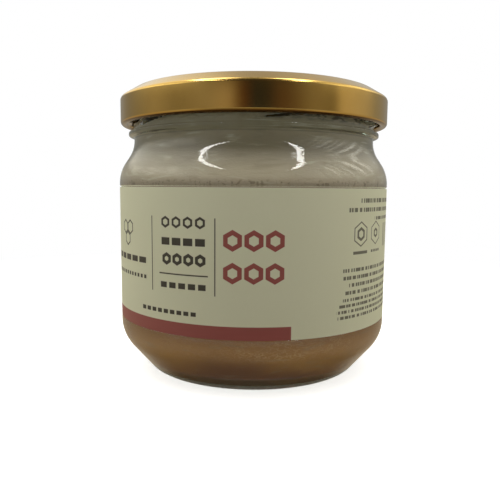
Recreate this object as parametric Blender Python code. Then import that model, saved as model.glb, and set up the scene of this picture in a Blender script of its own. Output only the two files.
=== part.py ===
"""A squat glass honey jar with a twist-off metal lid, a wrap-round paper label and its honey.

Metres, +Z up. The jar stands on z = 0 with its axis on Z, and the front of the label faces -Y.
"""

from math import acos, atan2, cos, pi, radians, sin, tan

import bmesh
import bpy
from mathutils import Matrix, Vector

MM = 0.001
MERGE = 0.001 * MM
SHARP_ANGLE = radians(35)

# One count of facets for every turned piece, so that the facets of neighbours line up
SEGMENTS = 52
STEP_ANGLE = 2 * pi / SEGMENTS

# Glass jar, outside
BODY_RADIUS = 40.85 * MM
PANEL_RADIUS = 40.4 * MM
NECK_RADIUS = 36.4 * MM
FINISH_RADIUS = 36.6 * MM
BASE_RADIUS = 31.8 * MM
BASE_ROUND = 2.5 * MM
HEEL_TOP = 10.6 * MM
HEEL_ROUND = 10.5 * MM
SHOULDER_FOOT = 58.5 * MM
SHOULDER_HEAD = 65.2 * MM
SHOULDER_ROUND = 11.0 * MM
NECK_ROUND = 9.0 * MM
RIM_HEIGHT = 81.6 * MM
RIM_ROUND = 1.0 * MM

# The transfer bead under the lid
BEAD_RADIUS = 38.0 * MM
BEAD_BOTTOM = 68.8 * MM
BEAD_TOP = 70.4 * MM
BEAD_ROUND = 0.5 * MM
BEAD_DRAFT = 0.3 * MM
BEAD_FILLET = 0.35 * MM

# Label panel, let into the body by a shallow step at each end
PANEL_BOTTOM = 15.9 * MM
PANEL_TOP = 54.6 * MM
PANEL_STEP = 0.25 * MM

# Glass jar, inside and underneath
WALL = 2.7 * MM
BORE_RADIUS = 34.0 * MM
FLOOR_HEIGHT = 4.8 * MM
FLOOR_ROUND = 4.5 * MM
RING_WIDTH = 2.6 * MM
RING_ROUND = 0.8 * MM
PUSH_UP = 2.0 * MM
PUSH_UP_RADIUS = 22.0 * MM
PUSH_UP_ROUND = 6.0 * MM
# How far along the axis a slanted wall's inner corner sits from its outer one
CORNER_SHIFT = 0.4 * WALL

# Six lug threads on the finish: each is a ridge that rises to the right
LUG_COUNT = 6
THREAD_RADIUS = 37.6 * MM
THREAD_LOW = 71.7 * MM
THREAD_RISE = 0.125
THREAD_SPAN = radians(62)
THREAD_START = radians(-91)
THREAD_ROOT_HALF = 0.8 * MM
THREAD_CREST_HALF = 0.35 * MM
THREAD_FADE = 0.14
THREAD_END_SHARE = 0.4
THREAD_STEPS = 10
THREAD_SUNK = 0.9 * MM

# Lid, pressed from sheet, with a rolled edge
LID_RADIUS = 40.3 * MM
LID_HEIGHT = 82.6 * MM
LID_BOTTOM = 72.15 * MM
SHEET = 0.6 * MM
CURL_ROUND = 1.1 * MM
CURL_TURN = 230
CURL_STEPS = 8
CURL_REACH = 2.6 * CURL_ROUND
LID_CORNER = 79.95 * MM
LID_CORNER_ROUND = 1.1 * MM
CROWN_RADIUS = 35.9 * MM
CROWN_ROUND = 1.5 * MM
CROWN_INNER = 34.2 * MM
CROWN_SLOPE = 0.7 * MM
PRESS_ROUND = 0.6 * MM
PANEL_DROP = 1.1 * MM
DISC_RADIUS = 25.0 * MM
DISC_RISE = 0.35 * MM
DISC_STEP = 1.0 * MM
# How far the corners of the lid's inner face sit from those of its outer face
CORNER_DROP = 0.6 * SHEET
CROWN_INSET = 0.2 * SHEET
SLOPE_INSET = 0.3 * SHEET

# Lugs of the lid, under the threads
LUG_INNER = 36.95 * MM
LUG_OUTER = 38.9 * MM
LUG_BOTTOM = 72.5 * MM
LUG_TOP = 73.7 * MM
LUG_SPAN = radians(12)
LUG_LEAD = radians(40)
LUG_STEPS = 4
LUG_CHAMFER = 0.3 * MM

# Honey, filled to the neck, and the label
FILL_CLEARANCE = 0.2 * MM
HONEY_LEVEL = 73.5 * MM
HONEY_EDGE_ROUND = 1.2 * MM
LABEL_CLEARANCE = 0.2 * MM
LABEL_THICKNESS = 0.27 * MM
LABEL_BOTTOM = 16.2 * MM
LABEL_TOP = 54.15 * MM
LABEL_GAP_STEPS = 2

# Plain colours, as red, green and blue
GLASS_COLOUR = (0.83, 0.88, 0.84)
GOLD_COLOUR = (0.62, 0.42, 0.13)
HONEY_COLOUR = (0.42, 0.28, 0.15)
PAPER_COLOUR = (0.62, 0.60, 0.45)


def rounded(corners):
    """The points of an outline whose corners, each (radius, height, round, steps), are turned into arcs."""
    points = []
    for index, (across, height, fillet, steps) in enumerate(corners):
        corner = Vector((across, height))
        if fillet == 0:
            points.append(corner)
            continue
        back = (Vector(corners[index - 1][:2]) - corner).normalized()
        on = (Vector(corners[index + 1][:2]) - corner).normalized()
        half = acos(max(-1.0, min(1.0, back.dot(on)))) / 2
        centre = corner + (back + on).normalized() * fillet / sin(half)
        first = corner + back * fillet / tan(half) - centre
        last = corner + on * fillet / tan(half) - centre
        sweep = atan2(first.x * last.y - first.y * last.x, first.dot(last))
        for step in range(steps + 1):
            points.append(centre + Matrix.Rotation(sweep * step / steps, 2) @ first)
    return points


def arc(centre, radius, start, end, steps):
    """Points along an arc in the outline's plane, from one angle in degrees to another."""
    angles = [radians(start + (end - start) * step / steps) for step in range(steps + 1)]
    return [Vector((centre[0] + radius * cos(a), centre[1] + radius * sin(a))) for a in angles]


def material(name, colour, roughness, metallic=0.0, transmission=0.0):
    made = bpy.data.materials.new(name)
    made.use_nodes = True
    shader = made.node_tree.nodes["Principled BSDF"]
    shader.inputs["Base Color"].default_value = (*colour, 1.0)
    shader.inputs["Roughness"].default_value = roughness
    shader.inputs["Metallic"].default_value = metallic
    shader.inputs["Transmission Weight"].default_value = transmission
    made.diffuse_color = (*colour, 1.0)
    return made


def piece(name, mesh_data, finish=None):
    """An object of the finished bmesh, with its faces turned outwards and its round sides smooth."""
    bmesh.ops.recalc_face_normals(mesh_data, faces=mesh_data.faces)
    mesh = bpy.data.meshes.new(name)
    mesh_data.to_mesh(mesh)
    mesh_data.free()
    mesh.shade_smooth()
    mesh.set_sharp_from_angle(angle=SHARP_ANGLE)
    made = bpy.data.objects.new(name, mesh)
    bpy.context.scene.collection.objects.link(made)
    if finish:
        mesh.materials.append(finish)
    else:
        made.hide_render = True
        made.display_type = "WIRE"
    return made


def chain(shape, points, closed=False):
    """The outline drawn in the XZ plane: its vertices and its edges."""
    spots = [shape.verts.new((point[0], 0.0, point[1])) for point in points]
    pairs = list(zip(spots, spots[1:] + spots[:1]))
    edges = [shape.edges.new(pair) for pair in (pairs if closed else pairs[:-1])]
    return spots + edges


def turned(name, points, finish):
    """A closed solid turned about Z from an outline that starts and ends on the axis."""
    shape = bmesh.new()
    outline = chain(shape, points)
    bmesh.ops.spin(
        shape, geom=outline, cent=(0, 0, 0), axis=(0, 0, 1), angle=2 * pi, steps=SEGMENTS, use_merge=True
    )
    bmesh.ops.remove_doubles(shape, verts=shape.verts, dist=MERGE)
    return piece(name, shape, finish)


def swept(shape, section, start, span, steps, rise=0.0):
    """A closed bar in the bmesh, its section carried round the axis and upwards. It returns its vertices."""
    known = len(shape.verts)
    bar = chain(shape, section, closed=True)
    bmesh.ops.rotate(
        shape, verts=bar[: len(section)], cent=(0, 0, 0), matrix=Matrix.Rotation(start, 3, "Z")
    )
    first = bar[len(section):]
    swung = bmesh.ops.spin(
        shape, geom=bar, cent=(0, 0, 0), axis=(0, 0, 1), angle=span, steps=steps, dvec=(0, 0, rise / steps)
    )
    last = [edge for edge in swung["geom_last"] if isinstance(edge, bmesh.types.BMEdge)]
    for loop in (first, last):
        bmesh.ops.edgeloop_fill(shape, edges=loop)
    shape.verts.ensure_lookup_table()
    return shape.verts[known:]


def united(whole, addition):
    join = whole.modifiers.new("union", "BOOLEAN")
    join.operation = "UNION"
    join.solver = "EXACT"
    join.object = addition


def inside_outline(inset=0.0):
    """The jar's inner wall from the bore down to the floor, brought in by the inset."""
    inner_body = PANEL_RADIUS - WALL - inset
    return [
        (BORE_RADIUS - inset, SHOULDER_HEAD - CORNER_SHIFT, NECK_ROUND + WALL, 3),
        (inner_body, SHOULDER_FOOT - CORNER_SHIFT, SHOULDER_ROUND - WALL / 2, 3),
        (inner_body, HEEL_TOP + CORNER_SHIFT, HEEL_ROUND - WALL / 2, 3),
        (BASE_RADIUS - CORNER_SHIFT - inset, FLOOR_HEIGHT + inset, FLOOR_ROUND, 3),
        (0.0, FLOOR_HEIGHT + inset, 0.0, 0),
    ]


def jar_outline():
    corners = [
        (0.0, PUSH_UP, 0.0, 0),
        (PUSH_UP_RADIUS, PUSH_UP, PUSH_UP_ROUND, 2),
        (BASE_RADIUS - RING_WIDTH - BASE_ROUND / 2, 0.0, RING_ROUND, 1),
        (BASE_RADIUS, 0.0, BASE_ROUND, 2),
        (BODY_RADIUS, HEEL_TOP, HEEL_ROUND, 3),
        (BODY_RADIUS, PANEL_BOTTOM, 0.0, 0),
        (PANEL_RADIUS, PANEL_BOTTOM + PANEL_STEP, 0.0, 0),
        (PANEL_RADIUS, PANEL_TOP - PANEL_STEP, 0.0, 0),
        (BODY_RADIUS, PANEL_TOP, 0.0, 0),
        (BODY_RADIUS, SHOULDER_FOOT, SHOULDER_ROUND, 4),
        (NECK_RADIUS, SHOULDER_HEAD, NECK_ROUND, 4),
        (NECK_RADIUS, BEAD_BOTTOM, BEAD_FILLET, 1),
        (BEAD_RADIUS, BEAD_BOTTOM + BEAD_DRAFT, BEAD_ROUND, 2),
        (BEAD_RADIUS, BEAD_TOP, BEAD_ROUND, 2),
        (FINISH_RADIUS, BEAD_TOP, BEAD_FILLET, 1),
        (FINISH_RADIUS, RIM_HEIGHT, RIM_ROUND, 2),
        (BORE_RADIUS, RIM_HEIGHT, RIM_ROUND, 2),
    ]
    return rounded(corners + inside_outline())


def thread_ridges():
    """The lug threads: ridges that sink into the finish at both ends."""
    sunk = FINISH_RADIUS - THREAD_SUNK
    section = [
        (sunk, THREAD_LOW - THREAD_ROOT_HALF),
        (FINISH_RADIUS, THREAD_LOW - THREAD_ROOT_HALF),
        (THREAD_RADIUS, THREAD_LOW - THREAD_CREST_HALF),
        (THREAD_RADIUS, THREAD_LOW + THREAD_CREST_HALF),
        (FINISH_RADIUS, THREAD_LOW + THREAD_ROOT_HALF),
        (sunk, THREAD_LOW + THREAD_ROOT_HALF),
    ]
    rise = THREAD_RISE * THREAD_RADIUS * THREAD_SPAN
    half_pitch = pi / LUG_COUNT
    shape = bmesh.new()
    for lug in range(LUG_COUNT):
        start = THREAD_START + 2 * pi * lug / LUG_COUNT
        for spot in swept(shape, section, start, THREAD_SPAN, THREAD_STEPS, rise):
            turn = atan2(spot.co.y, spot.co.x) - start
            along = ((turn + half_pitch) % (2 * pi) - half_pitch) / THREAD_SPAN
            depth = max(0.0, min(1.0, min(along, 1 - along) / THREAD_FADE))
            share = THREAD_END_SHARE + (1 - THREAD_END_SHARE) * sin(depth * pi / 2)
            across = spot.co.xy.length
            wanted = sunk + (across - sunk) * share
            spot.co.xy *= wanted / across
    return piece("thread_ridges", shape)


def lid_outline():
    top = LID_HEIGHT
    outside = [
        (0.0, top - PANEL_DROP + DISC_RISE, 0.0, 0),
        (DISC_RADIUS, top - PANEL_DROP + DISC_RISE, PRESS_ROUND, 1),
        (DISC_RADIUS + DISC_STEP, top - PANEL_DROP, PRESS_ROUND, 1),
        (CROWN_INNER - CROWN_SLOPE, top - PANEL_DROP, PRESS_ROUND, 1),
        (CROWN_INNER, top, PRESS_ROUND, 1),
        (CROWN_RADIUS, top, CROWN_ROUND, 3),
        (LID_RADIUS, LID_CORNER, LID_CORNER_ROUND, 4),
        (LID_RADIUS, LID_BOTTOM + CURL_ROUND, 0.0, 0),
    ]
    curl_centre = (LID_RADIUS - CURL_ROUND, LID_BOTTOM + CURL_ROUND)
    curl = arc(curl_centre, CURL_ROUND, 0, -CURL_TURN, CURL_STEPS)[1:]
    inner = LID_RADIUS - SHEET
    inside = [
        (inner, LID_BOTTOM + CURL_REACH, 0.0, 0),
        (inner, LID_CORNER - CORNER_DROP, LID_CORNER_ROUND - SHEET / 2, 1),
        (CROWN_RADIUS - CROWN_INSET, top - SHEET, CROWN_ROUND - SHEET / 2, 1),
        (CROWN_INNER + SLOPE_INSET, top - SHEET, 0.0, 0),
        (CROWN_INNER - CROWN_SLOPE + SLOPE_INSET, top - PANEL_DROP - SHEET, 0.0, 0),
        (DISC_RADIUS + DISC_STEP, top - PANEL_DROP - SHEET, 0.0, 0),
        (DISC_RADIUS, top - PANEL_DROP + DISC_RISE - SHEET, 0.0, 0),
        (0.0, top - PANEL_DROP + DISC_RISE - SHEET, 0.0, 0),
    ]
    return rounded(outside) + curl + rounded(inside)


def lid_lugs():
    """Short hooks that reach in from the rolled edge and sit under the threads."""
    section = [
        (LUG_OUTER, LUG_BOTTOM),
        (LUG_OUTER, LUG_TOP),
        (LUG_INNER, LUG_TOP),
        (LUG_INNER, LUG_BOTTOM + LUG_CHAMFER),
        (LUG_INNER + LUG_CHAMFER, LUG_BOTTOM),
    ]
    shape = bmesh.new()
    for lug in range(LUG_COUNT):
        start = THREAD_START + LUG_LEAD + 2 * pi * lug / LUG_COUNT
        swept(shape, section, start, LUG_SPAN, LUG_STEPS)
    return piece("lid_lugs", shape)


def honey(finish):
    top = [
        (0.0, HONEY_LEVEL, 0.0, 0),
        (BORE_RADIUS - FILL_CLEARANCE, HONEY_LEVEL, HONEY_EDGE_ROUND, 2),
    ]
    return turned("honey", rounded(top + inside_outline(FILL_CLEARANCE)), finish)


def label(finish):
    inner = PANEL_RADIUS + LABEL_CLEARANCE
    outer = inner + LABEL_THICKNESS
    section = [(inner, LABEL_BOTTOM), (outer, LABEL_BOTTOM), (outer, LABEL_TOP), (inner, LABEL_TOP)]
    covered = SEGMENTS - LABEL_GAP_STEPS
    start = pi / 2 + LABEL_GAP_STEPS / 2 * STEP_ANGLE
    shape = bmesh.new()
    swept(shape, section, start, covered * STEP_ANGLE, covered)
    return piece("label", shape, finish)


def main():
    for old in list(bpy.data.objects):
        bpy.data.objects.remove(old, do_unlink=True)
    glass = material("clear_glass", GLASS_COLOUR, 0.04, transmission=1.0)
    gold = material("gold_lacquer", GOLD_COLOUR, 0.3, metallic=1.0)
    creamed = material("creamed_honey", HONEY_COLOUR, 0.45)
    paper = material("label_paper", PAPER_COLOUR, 0.6)
    united(turned("jar_glass", jar_outline(), glass), thread_ridges())
    united(turned("lid", lid_outline(), gold), lid_lugs())
    honey(creamed)
    label(paper)


main()
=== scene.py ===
"""The looks of a squat glass jar of creamed honey with a gold twist-off lid and a paper label."""

from math import atan2, ceil, cos, hypot, pi, radians, sin, tan

import bmesh
import bpy
from mathutils import Matrix, Vector


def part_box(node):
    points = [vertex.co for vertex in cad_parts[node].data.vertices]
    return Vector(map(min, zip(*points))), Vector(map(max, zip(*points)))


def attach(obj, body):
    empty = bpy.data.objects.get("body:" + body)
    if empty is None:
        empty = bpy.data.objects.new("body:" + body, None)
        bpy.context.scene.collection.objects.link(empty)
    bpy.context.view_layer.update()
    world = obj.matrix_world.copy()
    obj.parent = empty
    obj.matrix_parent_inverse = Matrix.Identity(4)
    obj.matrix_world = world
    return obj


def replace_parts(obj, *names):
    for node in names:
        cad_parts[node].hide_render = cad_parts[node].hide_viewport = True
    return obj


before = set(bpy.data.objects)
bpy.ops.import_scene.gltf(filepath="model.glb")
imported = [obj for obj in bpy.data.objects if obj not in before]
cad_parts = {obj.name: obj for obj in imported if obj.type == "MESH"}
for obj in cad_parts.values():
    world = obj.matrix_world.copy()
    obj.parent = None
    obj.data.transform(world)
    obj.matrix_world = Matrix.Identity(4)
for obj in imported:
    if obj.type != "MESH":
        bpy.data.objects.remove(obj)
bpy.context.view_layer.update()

MM = 0.001
ROUND_STEPS = 256
ARC_STEP = radians(9)
ARC_CHORD = 0.3 * MM
MERGE = 0.0005 * MM
SHARP = radians(35)

# What the frame gives
_, jar_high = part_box("jar_glass")
lid_low, lid_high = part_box("lid")
honey_low, honey_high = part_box("honey")
label_low, label_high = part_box("label")

# Glass jar, outside
BODY_RADIUS = jar_high.x
RIM_HEIGHT = jar_high.z
PANEL_DEPTH = 0.45 * MM
PANEL_RADIUS = BODY_RADIUS - PANEL_DEPTH
NECK_RADIUS = 36.4 * MM
MOUTH_RADIUS = 36.6 * MM
BASE_RADIUS = 31.8 * MM
BASE_ROUND = 2.5 * MM
HEEL_TOP = 10.6 * MM
HEEL_ROUND = 10.5 * MM
SHOULDER_FOOT = 58.5 * MM
SHOULDER_HEAD = 65.2 * MM
SHOULDER_ROUND = 11.0 * MM
NECK_ROUND = 9.0 * MM
RIM_ROUND = 1.0 * MM

# Transfer bead and label panel
BEAD_RADIUS = 38.0 * MM
BEAD_BOTTOM = 68.8 * MM
BEAD_TOP = 70.4 * MM
BEAD_ROUND = 0.5 * MM
BEAD_DRAFT = 0.3 * MM
BEAD_FILLET = 0.35 * MM
PANEL_BOTTOM = 16.15 * MM
PANEL_TOP = 54.6 * MM
PANEL_STEP = 0.25 * MM
PANEL_ROUND = 0.3 * MM

# Glass jar, inside and underneath
WALL = 2.7 * MM
BORE_RADIUS = 34.0 * MM
HONEY_GAP = 0.2 * MM
FLOOR_HEIGHT = honey_low.z - HONEY_GAP
FLOOR_ROUND = 4.5 * MM
RING_WIDTH = 2.6 * MM
RING_ROUND = 0.8 * MM
PUSH_UP = 2.0 * MM
PUSH_UP_RADIUS = 22.0 * MM
PUSH_UP_ROUND = 6.0 * MM
CORNER_SHIFT = 0.4 * WALL

# Six lug threads round the mouth, rising to the right
LUG_COUNT = 6
THREAD_HEIGHT = 1.0 * MM
THREAD_LOW = 71.7 * MM
THREAD_RISE = 0.125
THREAD_SPAN = radians(62)
THREAD_START = radians(-91)
THREAD_ROOT_HALF = 0.85 * MM
THREAD_CREST_HALF = 0.3 * MM
THREAD_FADE = 0.14
THREAD_ROWS = 44

# Lid, pressed from sheet, with a rolled edge
LID_RADIUS = lid_high.x
LID_TOP = lid_high.z
LID_BOTTOM = lid_low.z
SHEET = 0.6 * MM
CURL_ROUND = 1.1 * MM
CURL_FOOT_ROUND = 0.9 * CURL_ROUND
CURL_HEAD_ROUND = 0.8 * CURL_ROUND
CORNER_DROP = 2.65 * MM
LID_CORNER = LID_TOP - CORNER_DROP
LID_CORNER_ROUND = 1.1 * MM
CROWN_RADIUS = 35.9 * MM
CROWN_ROUND = 1.5 * MM
CROWN_INNER = 34.2 * MM
CROWN_SLOPE = 0.7 * MM
PRESS_ROUND = 0.6 * MM
PANEL_DROP = 1.1 * MM
DISC_RADIUS = 25.0 * MM
DISC_RISE = 0.35 * MM
DISC_STEP = 1.0 * MM

# How far the inner face of the lid's sheet shifts at its bends
CORNER_TUCK = 0.6 * SHEET
CROWN_TUCK = 0.2 * SHEET
SLOPE_TUCK = 0.3 * SHEET

# Hooks on the lid's rolled edge
HOOK_INNER = 36.95 * MM
HOOK_OUTER = 38.9 * MM
HOOK_BOTTOM = 72.5 * MM
HOOK_TOP = 73.7 * MM
HOOK_SPAN = radians(12)
HOOK_LEAD = radians(40)
HOOK_TOP_ROUND = 0.2 * MM
HOOK_BOTTOM_ROUND = 0.4 * MM
HOOK_STEPS = 8

# How far honey and label reach into the glass, so that no air shows between
HONEY_REACH = 0.05 * MM
LABEL_REACH = 0.05 * MM

# Honey and label
HONEY_LEVEL = honey_high.z
HONEY_EDGE_ROUND = 1.2 * MM
LABEL_RADIUS = label_high.x
LABEL_BOTTOM = label_low.z
LABEL_TOP = label_high.z
LABEL_GAP = radians(13.85)
LABEL_EDGE_ROUND = 0.05 * MM

# Paper and inks
PAPER = (0.700, 0.720, 0.530, 1.0)
DULL_PAPER = (0.60, 0.58, 0.38, 1.0)
MAROON = (0.295, 0.060, 0.054, 1.0)
BROWN_INK = (0.022, 0.016, 0.010, 1.0)
MAROON_COVER = 0.97
BROWN_COVER = 0.96
FINE_COVER = 0.8

# Print, in millimetres from the label's front line and from the base: left, right, bottom and top
INK_EDGE = 0.06
MAROON_STRIP = (-125.0, 9.9, 15.0, 19.66)
LEFT_RULE = (-28.75, -28.45, 27.2, 46.8)
RIGHT_RULE = (-9.55, -9.25, 27.2, 46.6)
LEVEL_RULE = (-25.9, -11.2, 31.9, 32.25)
FRONT_COLUMN = (-7.6, 8.2)
MIDDLE_COLUMN = (-25.4, -11.6)
LEFT_COLUMN = (-51.5, -30.9)
SMALL_PRINT_END = 62.0
SMALL_MARKS_HEIGHT = 42.2
TRIPLE_COMB = ((-43.6, 43.2), (-39.9, 43.2), (-41.75, 40.0))

# Greeked lines: how far their starts vary, and how they break
RAGGED = 4.0
LINE_FOOT = 0.15
LINE_SHIFT = 37.0
BREAK_SCALE = 1.1
BREAKS = (0.42, 0.47)

# Colours of the honey by height in millimetres: caramel below and pale above, partly the honey's own colour
# and partly painted shade, darker at the very bottom and in the dip around 64 mm
HONEY_DEPTH = [
    (0.0, (0.095, 0.036, 0.012, 1.0)),
    (5.0, (0.165, 0.062, 0.014, 1.0)),
    (10.0, (0.245, 0.110, 0.023, 1.0)),
    (16.0, (0.240, 0.095, 0.018, 1.0)),
    (40.0, (0.340, 0.210, 0.110, 1.0)),
    (54.5, (0.300, 0.225, 0.165, 1.0)),
    (57.0, (0.420, 0.342, 0.258, 1.0)),
    (60.0, (0.375, 0.303, 0.226, 1.0)),
    (64.0, (0.220, 0.176, 0.118, 1.0)),
    (68.0, (0.295, 0.243, 0.160, 1.0)),
    (74.0, (0.320, 0.275, 0.175, 1.0)),
]
# Reddish stain colour, which at the front of the bottom also stands for painted shade
RED_STAIN_AND_SHADE = (0.085, 0.022, 0.006, 1.0)
PALE_CRYSTALS = (0.62, 0.42, 0.22, 1.0)
PALE_CREAM = (0.62, 0.57, 0.45, 1.0)
DULL_CREAM = (0.17, 0.13, 0.08, 1.0)
SPECKS = (0.16, 0.11, 0.07, 1.0)
# Painted shade at the neck: the lid's shadow, the shadows of its hooks and threads, and a line under the
# bead
LID_SHADE = (0.05, 0.040, 0.020, 1.0)
PAINTED_LUG_SHADOW = (0.05, 0.040, 0.024, 1.0)
BEAD_SHADE_LINE = (0.10, 0.085, 0.055, 1.0)

# Places on the honey in millimetres, a fade as start and end, a band as low, high and soft edge
FRONT_STAIN_AND_SHADE_FADE = (13.5, 7.5)
FRONT_STAIN_AND_SHADE_BAND = (-15.0, 5.0, 7.0)
BLOTCH_FADE = (11.0, 4.0)
LACE_BAND = (10.8, 15.6, 1.6)
LACE_SIDE_BAND = (-2.0, 22.0, 5.0)
PALE_FADE = (50.0, 54.0)
SPECK_BAND = (54.6, 55.9, 0.5)
BEAD_SHADE_LINE_BAND = (68.5, 68.9, 0.25)
SHADE_FADE = (70.4, 72.2)
SHADE_SIDE_BAND = (1.0, 28.0, 9.0)
LUG_SHADOW_FADE = (70.9, 72.2)
LUG_SHADOW_SIDE_FADE = (6.0, 14.0)

# Glass and lacquer
GLASS = (0.98, 0.99, 0.98, 1.0)
GLASS_SHADOW = (0.96, 0.98, 0.96, 1.0)
GLASS_DEPTH = {"Color": (0.2, 0.71, 0.31, 1.0), "Density": 16.0}
CLEAR_ROUGHNESS = 0.015
STIPPLE_ROUGHNESS = 0.46
STIPPLE_FADE = (2.4, 1.4)
DEEP_GOLD = (0.60, 0.37, 0.085, 1.0)
PALE_GOLD = (0.68, 0.44, 0.12, 1.0)
SHADED_GOLD = (0.14, 0.075, 0.02, 1.0)
GOLD_SHADE_FADE = (LID_BOTTOM / MM + 0.65, LID_BOTTOM / MM + 0.35)

# Camera
CAMERA_PLACE = (0.0, -173.98 * MM, 53.88 * MM)
CAMERA_PITCH = 0.1111
CAMERA_YAW = -0.0049
CAMERA_ROLL = 0.0080
CAMERA_LENS = 39.5

# Floor, which turns white over a stretch in millimetres from the jar's axis
FLOOR_RADIUS = 4000.0 * MM
FLOOR_SIDES = 64
FLOOR_FADE = (120.0, 300.0)
WHITE = (1.0, 1.0, 1.0, 1.0)

# Curved lamps overhead, in shares of their height above the jar: side, middle and half length
LEFT_LAMP = (-0.69, -0.70, 0.95)
RIGHT_LAMP = (0.77, -1.05, 1.10)
LAMP_WHITE = (1.0, 0.99, 0.96, 1.0)
LAMP_GLOW = 15.0
LAMP_WIDTH = 0.07
LAMP_SOFTNESS = 0.015
LAMP_ROUGHNESS = 0.24
LAMP_GRAIN = 45.0
LAMP_LOWEST = 0.05
LAMP_FRONT = -1.5
FRONT_TAPER = (LAMP_FRONT, LAMP_FRONT + 0.7)
FRONT_FADE = (LAMP_FRONT, LAMP_FRONT + 0.5)
BACK_THINNING = 0.45
BACK_TAPER = (-0.5, -0.1)
BACK_FADE = (0.1, -0.15)
INNER_FADE = (0.0, 0.2)
HORIZON_FADE = (0.1, 0.15)

# Light of the walls, low down and high up, by degrees round from the camera's side
LOW_ROOM = [
    (-180, (0.30, 0.30, 0.28, 1.0)),
    (-150, (0.30, 0.30, 0.28, 1.0)),
    (-125, (0.26, 0.26, 0.25, 1.0)),
    (-112, (0.28, 0.275, 0.26, 1.0)),
    (-87, (0.36, 0.34, 0.31, 1.0)),
    (-66, (0.25, 0.235, 0.21, 1.0)),
    (-38, (0.32, 0.30, 0.28, 1.0)),
    (-22, (0.42, 0.37, 0.33, 1.0)),
    (-8, (0.09, 0.040, 0.020, 1.0)),
    (1, (0.018, 0.026, 0.040, 1.0)),
    (10, (0.026, 0.026, 0.030, 1.0)),
    (22, (0.10, 0.062, 0.045, 1.0)),
    (50, (0.24, 0.215, 0.18, 1.0)),
    (66, (0.21, 0.19, 0.16, 1.0)),
    (76, (0.58, 0.53, 0.46, 1.0)),
    (100, (0.52, 0.49, 0.45, 1.0)),
    (122, (0.32, 0.32, 0.30, 1.0)),
    (150, (0.30, 0.30, 0.28, 1.0)),
    (180, (0.30, 0.30, 0.28, 1.0)),
]
HIGH_ROOM = [
    (-180, (0.46, 0.46, 0.45, 1.0)),
    (-150, (1.20, 1.18, 1.05, 1.0)),
    (-115, (1.35, 1.32, 1.16, 1.0)),
    (-70, (0.98, 0.97, 0.92, 1.0)),
    (-22, (0.08, 0.07, 0.06, 1.0)),
    (0, (0.04, 0.035, 0.03, 1.0)),
    (22, (0.08, 0.07, 0.06, 1.0)),
    (60, (0.40, 0.39, 0.37, 1.0)),
    (110, (1.00, 0.98, 0.86, 1.0)),
    (150, (0.65, 0.64, 0.58, 1.0)),
    (180, (0.46, 0.46, 0.45, 1.0)),
]

# Light of the ceiling, the table and the soft boxes
CEILING = (0.30, 0.30, 0.29, 1.0)
TABLE = (0.19, 0.16, 0.115, 1.0)
TABLE_SIDES = (0.46, 0.39, 0.28, 1.0)
TABLE_SHADE = (0.115, 0.072, 0.034, 1.0)
TABLE_EDGE = (0.52, 0.52, 0.53, 1.0)
LEFT_SOFT_BOX = (6.0, 5.95, 5.7, 1.0)
RIGHT_SOFT_BOX = (3.4, 3.37, 3.25, 1.0)

# Where they lie, in degrees round from the camera's side or up, as fades and bands
HIGH_FADE = (10.5, 20.0)
CEILING_FADE = (55.0, 80.0)
TABLE_FADE = (0.0, -8.0)
TABLE_SIDE_FADE = (30.0, 60.0)
TABLE_SHADE_FADE = (-25.0, -50.0)
TABLE_EDGE_BAND = (-14.0, -6.0, 3.0)
TABLE_EDGE_FADE = (85.0, 60.0)
SOFT_BOX_BAND = (62.0, 80.0, 4.0)
LEFT_SOFT_BOX_BAND = (-155.0, -80.0, 6.0)
RIGHT_SOFT_BOX_BAND = (80.0, 155.0, 6.0)

# Windows at both sides, with the slope of their streaks: how fast those change with turn and rise
LEFT_WINDOW = {
    "glow": (3.2, 3.15, 2.75, 1.0),
    "turn_band": (-106.0, -60.0, 8.0),
    "rise_band": (20.0, 34.0, 4.0),
    "slope": (0.05, 0.5),
    "detail": 3.0,
    "breaks": (0.44, 0.66),
}
RIGHT_WINDOW = {
    "glow": (3.2, 3.15, 2.75, 1.0),
    "turn_band": (62.0, 122.0, 10.0),
    "rise_band": (18.0, 42.0, 7.0),
    "slope": (0.12, 0.03),
    "detail": 2.0,
    "breaks": (0.40, 0.68),
}


class Field:
    """One output of a node. Sums, products and the like on it add their Math nodes."""

    def __init__(self, graph, socket):
        self.graph = graph
        self.socket = socket

    def __add__(self, other):
        return self.graph.maths("ADD", self, other)

    def __radd__(self, other):
        return self.graph.maths("ADD", other, self)

    def __sub__(self, other):
        return self.graph.maths("SUBTRACT", self, other)

    def __rsub__(self, other):
        return self.graph.maths("SUBTRACT", other, self)

    def __mul__(self, other):
        return self.graph.maths("MULTIPLY", self, other)

    def __rmul__(self, other):
        return self.graph.maths("MULTIPLY", other, self)

    def __truediv__(self, other):
        return self.graph.maths("DIVIDE", self, other)

    def __rtruediv__(self, other):
        return self.graph.maths("DIVIDE", other, self)

    def __neg__(self):
        return self.graph.maths("MULTIPLY", self, -1.0)


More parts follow.
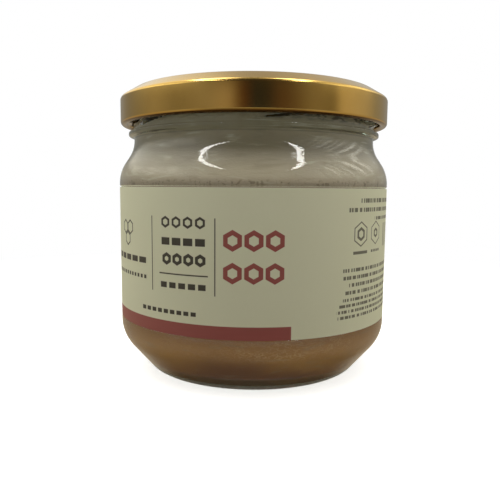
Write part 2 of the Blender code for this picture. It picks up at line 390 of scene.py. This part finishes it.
class Graph:
    """The nodes of one material, or of the world."""

    def __init__(self, tree):
        self.tree = tree

    def add(self, kind, settings=None, inputs=None, output=0):
        """A new node of this kind: first its settings, then the values or links of its sockets."""
        node = self.tree.nodes.new(kind)
        for name, value in (settings or {}).items():
            if name == "stops":
                self.set_stops(node.color_ramp, value)
            else:
                setattr(node, name, value)
        for name, value in (inputs or {}).items():
            self.feed(node.inputs[name], value)
        return Field(self, node.outputs[output])

    def set_stops(self, ramp, stops):
        while len(ramp.elements) < len(stops):
            ramp.elements.new(1.0)
        for element, (position, colour) in zip(ramp.elements, stops):
            element.position = position
            element.color = colour

    def feed(self, socket, value):
        if isinstance(value, Field):
            self.tree.links.new(value.socket, socket)
        else:
            socket.default_value = value

    def maths(self, operation, *values):
        return self.add("ShaderNodeMath", {"operation": operation}, dict(enumerate(values)))

    def smooth(self, value, start, end):
        """0 before start and 1 after end, smooth between. End may be the lower one."""
        return self.add(
            "ShaderNodeMapRange",
            {"interpolation_type": "SMOOTHSTEP"},
            {"Value": value, "From Min": start, "From Max": end},
        )

    def within(self, value, low, high, edge):
        """1 between low and high and 0 outside, with a soft edge to each side of both."""
        return self.smooth(value, low - edge, low + edge) * self.smooth(value, high + edge, high - edge)

    def either(self, *masks):
        """The strongest of the masks at each place."""
        joined = masks[0]
        for mask in masks[1:]:
            joined = self.maths("MAXIMUM", joined, mask)
        return joined

    def mix(self, share, first, second):
        return self.add(
            "ShaderNodeMix", {"data_type": "RGBA"}, {0: share, 6: first, 7: second}, output=2
        )

    def ramp(self, value, stops, interpolation="EASE"):
        """The colours of stops, each (position, colour), spread over values from the first to the last."""
        first = stops[0][0]
        reach = stops[-1][0] - first
        placed = [((position - first) / reach, colour) for position, colour in stops]
        made = self.add(
            "ShaderNodeValToRGB",
            {"stops": placed},
            {"Fac": (value - first) / reach},
        )
        made.socket.node.color_ramp.interpolation = interpolation
        return made

    def noise(self, place, scale, detail=2.0, dimensions="3D", distortion=0.0):
        inputs = {"Scale": scale, "Detail": detail, "Distortion": distortion}
        inputs["W" if dimensions == "1D" else "Vector"] = place
        return self.add("ShaderNodeTexNoise", {"noise_dimensions": dimensions}, inputs)

    def parts(self, vector):
        split = self.add("ShaderNodeSeparateXYZ", inputs={0: vector}).socket.node
        return [Field(self, socket) for socket in split.outputs]

    def stretched(self, place, scale):
        return self.add("ShaderNodeVectorMath", {"operation": "MULTIPLY"}, {0: place, 1: scale})

    def bump(self, height, strength, distance):
        return self.add(
            "ShaderNodeBump", inputs={"Height": height, "Strength": strength, "Distance": distance}
        )


class Finish(Graph):
    """A material whose Principled shader takes plain values and fields alike."""

    def __init__(self, name, **inputs):
        self.material = bpy.data.materials.new(name)
        self.material.use_nodes = True
        super().__init__(self.material.node_tree)
        self.shader = self.tree.nodes["Principled BSDF"]
        self.output = self.tree.nodes["Material Output"]
        for socket, value in inputs.items():
            self.set(socket.replace("_", " "), value)
        self.place = self.millimetres()
        self.x, self.y, self.z = self.parts(self.place)

    def set(self, socket, value):
        self.feed(self.shader.inputs[socket], value)

    def millimetres(self):
        place = self.add("ShaderNodeTexCoord", output="Object")
        return self.stretched(place, (1 / MM, 1 / MM, 1 / MM))


class Sky(Graph):
    """The room as the jar sees it: turn goes round from the camera's side, rise goes up, in degrees."""

    def __init__(self, tree):
        super().__init__(tree)
        self.way = self.add("ShaderNodeTexCoord", output="Generated")
        self.x, self.y, self.z = self.parts(self.way)
        self.turn = self.maths("ARCTAN2", self.x, -self.y) * (180 / pi)
        self.rise = self.maths("ARCSINE", self.z) * (180 / pi)


def outline(corners):
    """A line in the XZ plane through corners, each (radius, height, round), the rounds swung as arcs."""
    shape = bmesh.new()
    ends = []
    for index, (across, height, fillet) in enumerate(corners):
        corner = Vector((across, 0.0, height))
        if fillet == 0:
            spot = shape.verts.new(corner)
            ends.append((spot, spot))
            continue
        before, after = corners[index - 1], corners[(index + 1) % len(corners)]
        back = (Vector((before[0], 0.0, before[1])) - corner).normalized()
        on = (Vector((after[0], 0.0, after[1])) - corner).normalized()
        half = back.angle(on) / 2
        centre = corner + (back + on).normalized() * fillet / sin(half)
        turn = pi - 2 * half
        side = back.cross(on).normalized()
        first = shape.verts.new(corner + back * fillet / tan(half))
        steps = max(2, ceil(turn / ARC_STEP), ceil(turn * fillet / ARC_CHORD))
        swung = bmesh.ops.spin(shape, geom=[first], cent=centre, axis=-side, angle=turn, steps=steps)
        ends.append((first, swung["geom_last"][0]))
    for (_, last), (first, _) in zip(ends, ends[1:]):
        shape.edges.new((last, first))
    return shape, ends


def turned(shape):
    """The outline spun about the jar's axis into a closed surface."""
    bmesh.ops.spin(
        shape,
        geom=shape.verts[:] + shape.edges[:],
        cent=(0, 0, 0),
        axis=(0, 0, 1),
        angle=2 * pi,
        steps=ROUND_STEPS,
        use_merge=True,
    )
    bmesh.ops.remove_doubles(shape, verts=shape.verts, dist=MERGE)
    return shape


def swept(shape, ends, start, span, steps):
    """The closed outline carried part of the way round the axis, its two ends filled."""
    shape.edges.new((ends[-1][1], ends[0][0]))
    bmesh.ops.rotate(shape, verts=shape.verts, cent=(0, 0, 0), matrix=Matrix.Rotation(start, 3, "Z"))
    first = shape.edges[:]
    swung = bmesh.ops.spin(
        shape, geom=shape.verts[:] + first, cent=(0, 0, 0), axis=(0, 0, 1), angle=span, steps=steps
    )
    last = [edge for edge in swung["geom_last"] if isinstance(edge, bmesh.types.BMEdge)]
    bmesh.ops.edgeloop_fill(shape, edges=first)
    bmesh.ops.edgeloop_fill(shape, edges=last)
    return shape


def piece(name, shape, finish):
    """The finished bmesh as an object that rides on the jar, with its finish and slot."""
    bmesh.ops.recalc_face_normals(shape, faces=shape.faces)
    mesh = bpy.data.meshes.new(name)
    shape.to_mesh(mesh)
    shape.free()
    mesh.shade_smooth()
    mesh.set_sharp_from_angle(angle=SHARP)
    mesh.materials.append(finish.material)
    made = bpy.data.objects.new(name, mesh)
    bpy.context.scene.collection.objects.link(made)
    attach(made, "root")
    return made


def inside_corners(inset=0.0):
    """The jar's inner wall from the bore down to the floor, brought in by the inset."""
    inner_body = PANEL_RADIUS - WALL - inset
    return [
        (BORE_RADIUS - inset, SHOULDER_HEAD - CORNER_SHIFT, NECK_ROUND + WALL),
        (inner_body, SHOULDER_FOOT - CORNER_SHIFT, SHOULDER_ROUND - WALL / 2),
        (inner_body, HEEL_TOP + CORNER_SHIFT, HEEL_ROUND - WALL / 2),
        (BASE_RADIUS - CORNER_SHIFT - inset, FLOOR_HEIGHT + inset, FLOOR_ROUND),
        (0.0, FLOOR_HEIGHT + inset, 0.0),
    ]


def thread_height(spot):
    """How far the lug threads stand out at a point of the jar's mouth."""
    highest = 0.0
    for lug in range(LUG_COUNT):
        start = THREAD_START + 2 * pi * lug / LUG_COUNT
        turn = (atan2(spot.y, spot.x) - start + pi / LUG_COUNT) % (2 * pi) - pi / LUG_COUNT
        along = turn / THREAD_SPAN
        middle = THREAD_LOW + THREAD_RISE * MOUTH_RADIUS * turn
        off = (abs(spot.z - middle) - THREAD_CREST_HALF) / (THREAD_ROOT_HALF - THREAD_CREST_HALF)
        flank = min(1.0, max(0.0, 1 - off))
        fade = min(1.0, max(0.0, min(along, 1 - along) / THREAD_FADE))
        highest = max(highest, sin(flank * pi / 2) * sin(fade * pi / 2))
    return highest * THREAD_HEIGHT


def jar_glass(finish):
    """The turned jar: from the push-up out and up to the rim, then down the inside."""
    corners = [
        (0.0, PUSH_UP, 0.0),
        (PUSH_UP_RADIUS, PUSH_UP, PUSH_UP_ROUND),
        (BASE_RADIUS - RING_WIDTH - BASE_ROUND / 2, 0.0, RING_ROUND),
        (BASE_RADIUS, 0.0, BASE_ROUND),
        (BODY_RADIUS, HEEL_TOP, HEEL_ROUND),
        (BODY_RADIUS, PANEL_BOTTOM, PANEL_ROUND),
        (PANEL_RADIUS, PANEL_BOTTOM + PANEL_STEP, PANEL_ROUND),
        (PANEL_RADIUS, PANEL_TOP - PANEL_STEP, PANEL_ROUND),
        (BODY_RADIUS, PANEL_TOP, PANEL_ROUND),
        (BODY_RADIUS, SHOULDER_FOOT, SHOULDER_ROUND),
        (NECK_RADIUS, SHOULDER_HEAD, NECK_ROUND),
        (NECK_RADIUS, BEAD_BOTTOM, BEAD_FILLET),
        (BEAD_RADIUS, BEAD_BOTTOM + BEAD_DRAFT, BEAD_ROUND),
        (BEAD_RADIUS, BEAD_TOP, BEAD_ROUND),
        (MOUTH_RADIUS, BEAD_TOP, BEAD_FILLET),
        (MOUTH_RADIUS, RIM_HEIGHT, RIM_ROUND),
        (BORE_RADIUS, RIM_HEIGHT, RIM_ROUND),
    ]
    shape, ends = outline(corners + inside_corners())
    mouth_start = corners.index((MOUTH_RADIUS, BEAD_TOP, BEAD_FILLET))
    bare_ends = {ends[mouth_start][1], ends[mouth_start + 1][0]}
    bare = [edge for edge in shape.edges if set(edge.verts) == bare_ends]
    bmesh.ops.subdivide_edges(shape, edges=bare, cuts=THREAD_ROWS)
    turned(shape)
    for spot in shape.verts:
        across = hypot(spot.co.x, spot.co.y)
        if abs(across - MOUTH_RADIUS) < MERGE and spot.co.z > BEAD_TOP:
            spot.co.xy *= 1 + thread_height(spot.co) / across
    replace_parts(piece("glass_jar", shape, finish), "jar_glass")


def lid(finish):
    """The pressed shell: its upper face from the middle out, the rolled edge, then its inner face."""
    panel = LID_TOP - PANEL_DROP
    disc = panel + DISC_RISE
    inner = LID_RADIUS - SHEET
    curl_inner = LID_RADIUS - 2 * CURL_ROUND
    curl_top = LID_BOTTOM + 2 * CURL_ROUND
    corners = [
        (0.0, disc, 0.0),
        (DISC_RADIUS, disc, PRESS_ROUND),
        (DISC_RADIUS + DISC_STEP, panel, PRESS_ROUND),
        (CROWN_INNER - CROWN_SLOPE, panel, PRESS_ROUND),
        (CROWN_INNER, LID_TOP, PRESS_ROUND),
        (CROWN_RADIUS, LID_TOP, CROWN_ROUND),
        (LID_RADIUS, LID_CORNER, LID_CORNER_ROUND),
        (LID_RADIUS, LID_BOTTOM, CURL_ROUND),
        (curl_inner, LID_BOTTOM, CURL_FOOT_ROUND),
        (curl_inner, curl_top, CURL_HEAD_ROUND),
        (inner, curl_top, 0.0),
        (inner, LID_CORNER - CORNER_TUCK, LID_CORNER_ROUND - SHEET / 2),
        (CROWN_RADIUS - CROWN_TUCK, LID_TOP - SHEET, CROWN_ROUND),
        (CROWN_INNER + SLOPE_TUCK, LID_TOP - SHEET, 0.0),
        (CROWN_INNER - CROWN_SLOPE + SLOPE_TUCK, panel - SHEET, 0.0),
        (DISC_RADIUS + DISC_STEP, panel - SHEET, 0.0),
        (DISC_RADIUS, disc - SHEET, 0.0),
        (0.0, disc - SHEET, 0.0),
    ]
    shape, _ = outline(corners)
    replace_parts(piece("lid_shell", turned(shape), finish), "lid")


def lid_hooks(finish):
    """Short hooks that reach in from the rolled edge and sit under the threads."""
    hooks = bmesh.new()
    for lug in range(LUG_COUNT):
        corners = [
            (HOOK_OUTER, HOOK_BOTTOM, 0.0),
            (HOOK_OUTER, HOOK_TOP, 0.0),
            (HOOK_INNER, HOOK_TOP, HOOK_TOP_ROUND),
            (HOOK_INNER, HOOK_BOTTOM, HOOK_BOTTOM_ROUND),
        ]
        start = THREAD_START + HOOK_LEAD + 2 * pi * lug / LUG_COUNT
        hook = swept(*outline(corners), start, HOOK_SPAN, HOOK_STEPS)
        made = bpy.data.meshes.new("hook")
        hook.to_mesh(made)
        hook.free()
        hooks.from_mesh(made)
        bpy.data.meshes.remove(made)
    piece("lid_hooks", hooks, finish)


def honey(finish):
    """The fill, which reaches just into the glass."""
    corners = [
        (0.0, HONEY_LEVEL, 0.0),
        (BORE_RADIUS + HONEY_REACH, HONEY_LEVEL, HONEY_EDGE_ROUND),
    ]
    shape, _ = outline(corners + inside_corners(-HONEY_REACH))
    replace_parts(piece("honey_fill", turned(shape), finish), "honey")


def label(finish):
    """The paper band, with its gap at the back."""
    inner = PANEL_RADIUS - LABEL_REACH
    corners = [
        (inner, LABEL_BOTTOM, 0.0),
        (LABEL_RADIUS, LABEL_BOTTOM, LABEL_EDGE_ROUND),
        (LABEL_RADIUS, LABEL_TOP, LABEL_EDGE_ROUND),
        (inner, LABEL_TOP, 0.0),
    ]
    shape = swept(*outline(corners), pi / 2 + LABEL_GAP / 2, 2 * pi - LABEL_GAP, ROUND_STEPS)
    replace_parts(piece("paper_label", shape, finish), "label")


def glass_finish():
    """Clear moulded glass, faintly green, with slight waves and a stippled ring to stand on."""
    glass = Finish("moulded_glass", Base_Color=GLASS, IOR=1.5)
    glass.set("Transmission Weight", 1.0)
    grain = glass.noise(glass.place, 1.2, detail=2.0)
    stipple = glass.smooth(glass.z, *STIPPLE_FADE) * (0.6 + 0.4 * grain)
    glass.set("Roughness", CLEAR_ROUGHNESS + STIPPLE_ROUGHNESS * stipple)
    waves = glass.noise(glass.place, 0.35, detail=3.0)
    peel = glass.noise(glass.place, 1.6, detail=2.0)
    glass.set("Normal", glass.bump(waves + 0.12 * peel, 0.12, 0.4 * MM))
    open_way = glass.add("ShaderNodeBsdfTransparent", inputs={0: GLASS_SHADOW})
    lamp_ray = glass.add("ShaderNodeLightPath", output="Is Shadow Ray")
    surface = glass.add(
        "ShaderNodeMixShader",
        inputs={0: lamp_ray, 1: Field(glass, glass.shader.outputs[0]), 2: open_way},
    )
    glass.feed(glass.output.inputs["Surface"], surface)
    depth = glass.add("ShaderNodeVolumeAbsorption", inputs=GLASS_DEPTH)
    glass.feed(glass.output.inputs["Volume"], depth)
    return glass


def gold_finish():
    """Gold lacquer on tinplate: satin, with a fine grain, and in shade at its lowest edge."""
    gold = Finish("gold_lacquer", Metallic=1.0, Coat_IOR=1.5, Coat_Roughness=0.12)
    gold.set("Coat Weight", 0.25)
    cloud = gold.noise(gold.place, 0.12, detail=3.0)
    grain = gold.noise(gold.stretched(gold.place, (1.0, 1.0, 0.15)), 9.0, detail=3.0)
    lacquer = gold.mix(cloud, DEEP_GOLD, PALE_GOLD)
    gold.set("Base Color", gold.mix(gold.smooth(gold.z, *GOLD_SHADE_FADE), lacquer, SHADED_GOLD))
    gold.set("Roughness", 0.13 + 0.06 * cloud + 0.04 * grain)
    gold.set("Normal", gold.bump(grain, 0.04, 0.05 * MM))
    return gold


def red_stains_and_front_shade(cream, colour):
    """Reddish brown near the bottom: one wide patch at the front, reddish stain and painted shade, and
    scattered stain blotches.
    """
    # The wide patch at the front is reddish stain and painted shade
    wide = cream.within(cream.x, *FRONT_STAIN_AND_SHADE_BAND) * cream.smooth(cream.z, *FRONT_STAIN_AND_SHADE_FADE)
    blotches = cream.noise(cream.place, 0.09, detail=3.0)
    scattered = cream.smooth(blotches, 0.50, 0.66) * cream.smooth(cream.z, *BLOTCH_FADE)
    return cream.mix(cream.either(wide, scattered) * 0.8, colour, RED_STAIN_AND_SHADE)


def pale_lace(cream, colour, lace):
    """Fine threads of crystals below the label, most of them right of the middle."""
    threads = cream.smooth(cream.maths("ABSOLUTE", lace - 0.5), 0.05, 0.0)
    patches = cream.noise(cream.stretched(cream.place, (0.1, 0.1, 0.3)), 1.0, detail=2.0)
    laced = cream.within(cream.z, *LACE_BAND) * (0.3 + 0.7 * cream.within(cream.x, *LACE_SIDE_BAND))
    laced = laced * (0.4 + 0.6 * cream.smooth(patches, 0.38, 0.56))
    return cream.mix(threads * laced * 0.28, colour, PALE_CRYSTALS)


def level_streaks(cream, colour):
    """Level streaks: dull ones all over, and pale ones above the label's upper edge."""
    streaks = cream.noise(cream.stretched(cream.place, (0.10, 0.10, 0.55)), 1.0, detail=4.0, distortion=0.8)
    pale = cream.smooth(streaks, 0.54, 0.72) * cream.smooth(cream.z, *PALE_FADE)
    colour = cream.mix(pale * 0.35, colour, PALE_CREAM)
    dull = cream.smooth(streaks, 0.46, 0.28)
    return cream.mix(dull * 0.25, colour, DULL_CREAM)


def neck_specks_and_shade(cream, colour):
    """Dark specks at the label's upper edge, and painted shade at the neck: the lid's shadow, the shadows
    of its hooks and threads, and a dark line under the bead.
    """
    grains = cream.noise(cream.place, 1.1, detail=3.0)
    specks = cream.smooth(grains, 0.52, 0.64) * cream.within(cream.z, *SPECK_BAND)
    colour = cream.mix(specks * 0.6, colour, SPECKS)
    # Painted shadow of the lid, right of the front
    shade = cream.smooth(cream.z, *SHADE_FADE) * cream.within(cream.x, *SHADE_SIDE_BAND)
    colour = cream.mix(shade * 0.4, colour, LID_SHADE)
    # Painted shadows of the lid's hooks and threads, mostly right of the front
    marks = cream.noise(cream.stretched(cream.place, (0.45, 0.45, 1.3)), 1.0, detail=3.0, distortion=0.6)
    marks = cream.smooth(marks, 0.47, 0.60) * cream.smooth(cream.z, *LUG_SHADOW_FADE)
    marks = marks * (0.25 + 0.75 * cream.smooth(cream.x, *LUG_SHADOW_SIDE_FADE))
    colour = cream.mix(marks * 0.75, colour, PAINTED_LUG_SHADOW)
    # Painted shade line under the bead
    return cream.mix(cream.within(cream.z, *BEAD_SHADE_LINE_BAND) * 0.5, colour, BEAD_SHADE_LINE)


def honey_finish():
    """Creamed honey: pale and greyish at the neck, caramel below, mottled by its fine crystals, with
    painted shade near the bottom, at the front and round the neck.
    """
    cream = Finish("creamed_honey", Roughness=0.5, IOR=1.45)
    lace = cream.noise(cream.stretched(cream.place, (0.6, 0.6, 1.7)), 1.0, detail=4.0, distortion=0.9)
    colour = cream.ramp(cream.z, HONEY_DEPTH, "LINEAR")
    colour = red_stains_and_front_shade(cream, colour)
    colour = pale_lace(cream, colour, lace)
    colour = level_streaks(cream, colour)
    colour = neck_specks_and_shade(cream, colour)
    cream.set("Base Color", colour)
    cream.set("Normal", cream.bump(lace, 0.3, 0.3 * MM))
    return cream


def hexagon(graph, across, up, radius, stroke):
    """The outline of a hexagon that stands on a corner, of this outer radius to its corners."""
    flat = radius * cos(pi / 6)
    side = graph.maths("ABSOLUTE", across)
    slant = side * 0.5 + graph.maths("ABSOLUTE", up) * cos(pi / 6)
    reach = graph.maths("MAXIMUM", side, slant)
    return graph.within(reach, flat - stroke, flat, INK_EDGE)


def comb_row(graph, across, up, left, right, bottom, top, count, stroke):
    """A row of this many hexagons in a box."""
    pitch = (right - left) / count
    cell = graph.maths("PINGPONG", across - left, pitch / 2)
    middle = pitch / 2 - cell
    radius = (top - bottom) / 2
    inside = graph.within(across, left, right, INK_EDGE)
    return hexagon(graph, middle, up - (top + bottom) / 2, radius, stroke) * inside


def dashes(graph, across, up, left, right, bottom, top, count, share):
    """A row of this many dashes in a box, this share of each step inked."""
    pitch = (right - left) / count
    cell = graph.maths("PINGPONG", across - left + pitch / 2, pitch / 2)
    inked = graph.smooth(cell, pitch * share / 2 + INK_EDGE, pitch * share / 2 - INK_EDGE)
    return bar(graph, across, up, left, right, bottom, top) * inked


def bar(graph, across, up, left, right, bottom, top):
    """A solid box of ink."""
    return graph.within(across, left, right, INK_EDGE) * graph.within(up, bottom, top, INK_EDGE)


def paragraph(graph, across, up, left, right, bottom, top, lines, ink):
    """Greeked lines in a box: broken dashes of this ink height, with uneven left ends."""
    pitch = (top - bottom) / lines
    number = graph.maths("FLOOR", (up - bottom) / pitch)
    height = (up - bottom) - number * pitch
    ragged = graph.add(
        "ShaderNodeTexWhiteNoise", {"noise_dimensions": "1D"}, {"W": number + left}
    )
    start = ragged * RAGGED + left
    begun = graph.smooth(across - start, -INK_EDGE, INK_EDGE)
    broken = graph.noise(across + number * LINE_SHIFT, BREAK_SCALE, detail=1.0, dimensions="1D")
    inked = graph.smooth(broken, *BREAKS)
    area = graph.smooth(across, right + INK_EDGE, right - INK_EDGE) * graph.within(up, bottom, top, 0.01)
    return area * begun * inked * graph.within(height, LINE_FOOT, LINE_FOOT + ink, INK_EDGE)


def maroon_print(paper, across, up):
    """The strip along the foot and two rows of large hexagons."""
    here = (paper, across, up)
    return paper.either(
        bar(*here, *MAROON_STRIP),
        comb_row(*here, *FRONT_COLUMN, 38.5, 43.9, 3, 1.15),
        comb_row(*here, *FRONT_COLUMN, 30.4, 35.8, 3, 1.15),
    )


def brown_print(paper, across, up):
    """Rules, rows of hexagons and dashes, and three hexagons that touch."""
    here = (paper, across, up)
    comb = [hexagon(paper, across - middle, up - height, 2.1, 0.4) for middle, height in TRIPLE_COMB]
    return paper.either(
        bar(*here, *LEFT_RULE),
        bar(*here, *RIGHT_RULE),
        comb_row(*here, *MIDDLE_COLUMN, 43.8, 46.9, 4, 0.6),
        dashes(*here, *MIDDLE_COLUMN, 39.5, 41.4, 4, 0.78),
        comb_row(*here, -25.0, -11.6, 34.3, 37.6, 4, 0.85),
        bar(*here, *LEVEL_RULE),
        dashes(*here, -25.8, -11.4, 28.4, 29.9, 5, 0.72),
        dashes(*here, -33.3, -14.2, 21.6, 22.7, 9, 0.7),
        *comb,
        dashes(*here, *LEFT_COLUMN, 34.0, 35.6, 5, 0.8),
        dashes(*here, *LEFT_COLUMN, 29.9, 30.9, 12, 0.6),
    )


def fine_print(paper, across, up):
    """Greeked lines at the right, with small marks between them."""
    here = (paper, across, up)
    level = up - SMALL_MARKS_HEIGHT
    return paper.either(
        paragraph(*here, 28.5, SMALL_PRINT_END, 50.3, 52.4, 1, 1.15),
        paragraph(*here, 22.8, SMALL_PRINT_END, 47.9, 50.0, 1, 1.1),
        paragraph(*here, 35.8, SMALL_PRINT_END, 45.6, 47.6, 1, 0.9),
        paragraph(*here, 24.0, SMALL_PRINT_END, 26.3, 34.2, 4, 0.95),
        paragraph(*here, 22.0, SMALL_PRINT_END, 19.9, 26.0, 4, 0.8),
        hexagon(paper, across - 31.8, level, 3.4, 0.35),
        hexagon(paper, across - 31.8, level, 1.9, 0.7),
        bar(*here, 28.6, 35.0, 36.9, 37.7),
        hexagon(paper, across - 39.9, level, 3.3, 0.3),
        hexagon(paper, across - 39.9, level, 1.4, 0.6),
        dashes(*here, 36.9, 43.0, 37.0, 37.7, 4, 0.7),
        dashes(*here, 46.0, 54.0, 38.0, 44.6, 4, 0.3),
    )


def label_finish():
    """Matt cream paper with a maroon strip, honeycomb shapes, thin rules and greeked lines."""
    paper = Finish("label_paper")
    across = paper.maths("ARCTAN2", paper.x, -paper.y) * (LABEL_RADIUS / MM)
    here = (paper, across, paper.z)
    maroon = maroon_print(*here)
    brown = brown_print(*here)
    fibre = paper.noise(paper.place, 1.6, detail=4.0)
    cloud = paper.noise(paper.place, 0.08, detail=2.0)
    printed = paper.mix(0.10 * fibre + 0.12 * cloud, PAPER, DULL_PAPER)
    printed = paper.mix(maroon * MAROON_COVER, printed, MAROON)
    printed = paper.mix(brown * BROWN_COVER, printed, BROWN_INK)
    printed = paper.mix(fine_print(*here) * FINE_COVER, printed, BROWN_INK)
    paper.set("Base Color", printed)
    paper.set("Roughness", 0.58 - 0.12 * paper.either(maroon, brown))
    paper.set("Normal", paper.bump(fibre, 0.06, 0.1 * MM))
    return paper


def camera():
    """The photograph's view, from the front and a little above the middle."""
    data = bpy.data.cameras.new("camera")
    data.lens = CAMERA_LENS
    data.clip_start = 10 * MM
    made = bpy.data.objects.new("camera", data)
    bpy.context.scene.collection.objects.link(made)
    turn = Matrix.Rotation(CAMERA_YAW, 4, "Z").inverted() @ Matrix.Rotation(pi / 2 - CAMERA_PITCH, 4, "X")
    roll = Matrix.Rotation(CAMERA_ROLL, 4, "Z")
    made.matrix_world = Matrix.Translation(CAMERA_PLACE) @ turn @ roll
    bpy.context.scene.camera = made


def floor():
    """A pale floor that turns pure white away from the jar. Nothing mirrors it or is lit by it."""
    shape = bmesh.new()
    bmesh.ops.create_circle(shape, cap_ends=True, radius=FLOOR_RADIUS, segments=FLOOR_SIDES)
    mesh = bpy.data.meshes.new("floor")
    shape.to_mesh(mesh)
    shape.free()
    ground = Finish("pale_floor", Roughness=0.7, Emission_Strength=0.6)
    ground.set("Base Color", (0.8, 0.8, 0.8, 1.0))
    ground.set("Emission Color", WHITE)
    far = ground.maths("SQRT", ground.x * ground.x + ground.y * ground.y)
    white = ground.add("ShaderNodeEmission", inputs={0: WHITE, 1: 1.0})
    surface = ground.add(
        "ShaderNodeMixShader",
        inputs={0: ground.smooth(far, *FLOOR_FADE), 1: Field(ground, ground.shader.outputs[0]), 2: white},
    )
    ground.feed(ground.output.inputs["Surface"], surface)
    mesh.materials.append(ground.material)
    made = bpy.data.objects.new("floor", mesh)
    bpy.context.scene.collection.objects.link(made)
    made.visible_diffuse = False
    made.visible_glossy = False


def wall_light(sky):
    """The walls, darkest on the camera's side, and a plain ceiling."""
    low = sky.ramp(sky.turn, LOW_ROOM)
    high = sky.ramp(sky.turn, HIGH_ROOM)
    light = sky.mix(sky.smooth(sky.rise, *HIGH_FADE), low, high)
    return sky.mix(sky.smooth(sky.rise, *CEILING_FADE), light, CEILING)


def table_light(sky, light):
    """The table, shaded under the jar, with a pale edge on the camera's side."""
    side = sky.maths("ABSOLUTE", sky.turn)
    table = sky.mix(sky.smooth(side, *TABLE_SIDE_FADE), TABLE, TABLE_SIDES)
    light = sky.mix(sky.smooth(sky.rise, *TABLE_FADE), light, table)
    light = sky.mix(sky.smooth(sky.rise, *TABLE_SHADE_FADE), light, TABLE_SHADE)
    edge = sky.within(sky.rise, *TABLE_EDGE_BAND) * sky.smooth(side, *TABLE_EDGE_FADE)
    return sky.mix(edge, light, TABLE_EDGE)


def soft_boxes(sky, light):
    """A large soft lamp high up on each side."""
    high = sky.within(sky.rise, *SOFT_BOX_BAND)
    light = sky.mix(high * sky.within(sky.turn, *LEFT_SOFT_BOX_BAND), light, LEFT_SOFT_BOX)
    return sky.mix(high * sky.within(sky.turn, *RIGHT_SOFT_BOX_BAND), light, RIGHT_SOFT_BOX)


def streaky_window(sky, light, glow, turn_band, rise_band, slope, detail, breaks):
    """A window whose light is broken into streaks."""
    line = sky.turn * slope[0] + sky.rise * slope[1]
    streaks = sky.smooth(sky.noise(line, 1.0, detail=detail, dimensions="1D"), *breaks)
    window = sky.within(sky.turn, *turn_band) * sky.within(sky.rise, *rise_band)
    return sky.mix(window * streaks, light, glow)


def curved_lamp(sky, rough, side, middle, length):
    """A long lamp overhead that bows outwards, with a rough edge and thin ends."""
    height = sky.maths("MAXIMUM", sky.z, LAMP_LOWEST)
    across = sky.x / height / side
    along = sky.y / height
    reach = (along - middle) / length
    ring = sky.maths("SQRT", across * across + reach * reach) + (rough - 0.5) * LAMP_ROUGHNESS
    half = LAMP_WIDTH * sky.smooth(along, *FRONT_TAPER)
    half = half * (1.0 - BACK_THINNING * sky.smooth(along, *BACK_TAPER))
    band = sky.smooth(sky.maths("ABSOLUTE", ring - 1.0), half + LAMP_SOFTNESS, half - LAMP_SOFTNESS)
    part = sky.smooth(along, *FRONT_FADE) * sky.smooth(along, *BACK_FADE)
    return band * part * sky.smooth(across, *INNER_FADE) * sky.smooth(sky.z, *HORIZON_FADE)


def room():
    """Soft light from all round, with curved lamps and soft boxes above and windows at the sides."""
    world = bpy.data.worlds.new("room")
    world.use_nodes = True
    bpy.context.scene.world = world
    sky = Sky(world.node_tree)
    light = wall_light(sky)
    light = table_light(sky, light)
    light = soft_boxes(sky, light)
    light = streaky_window(sky, light, **LEFT_WINDOW)
    light = streaky_window(sky, light, **RIGHT_WINDOW)
    rough = sky.noise(sky.way, LAMP_GRAIN, detail=3.0)
    lamps = sky.either(curved_lamp(sky, rough, *LEFT_LAMP), curved_lamp(sky, rough, *RIGHT_LAMP))
    light = sky.mix(lamps, light, LAMP_WHITE)
    seen = sky.add("ShaderNodeLightPath", output="Is Camera Ray")
    background = world.node_tree.nodes["Background"]
    sky.feed(background.inputs["Color"], sky.mix(seen, light, WHITE))
    sky.feed(background.inputs["Strength"], 1.0 + lamps * LAMP_GLOW * (1.0 - seen))


camera()
floor()
room()

jar_glass(glass_finish())
gold = gold_finish()
lid(gold)
lid_hooks(gold)
honey(honey_finish())
label(label_finish())

bpy.context.scene.view_settings.view_transform = "Standard"
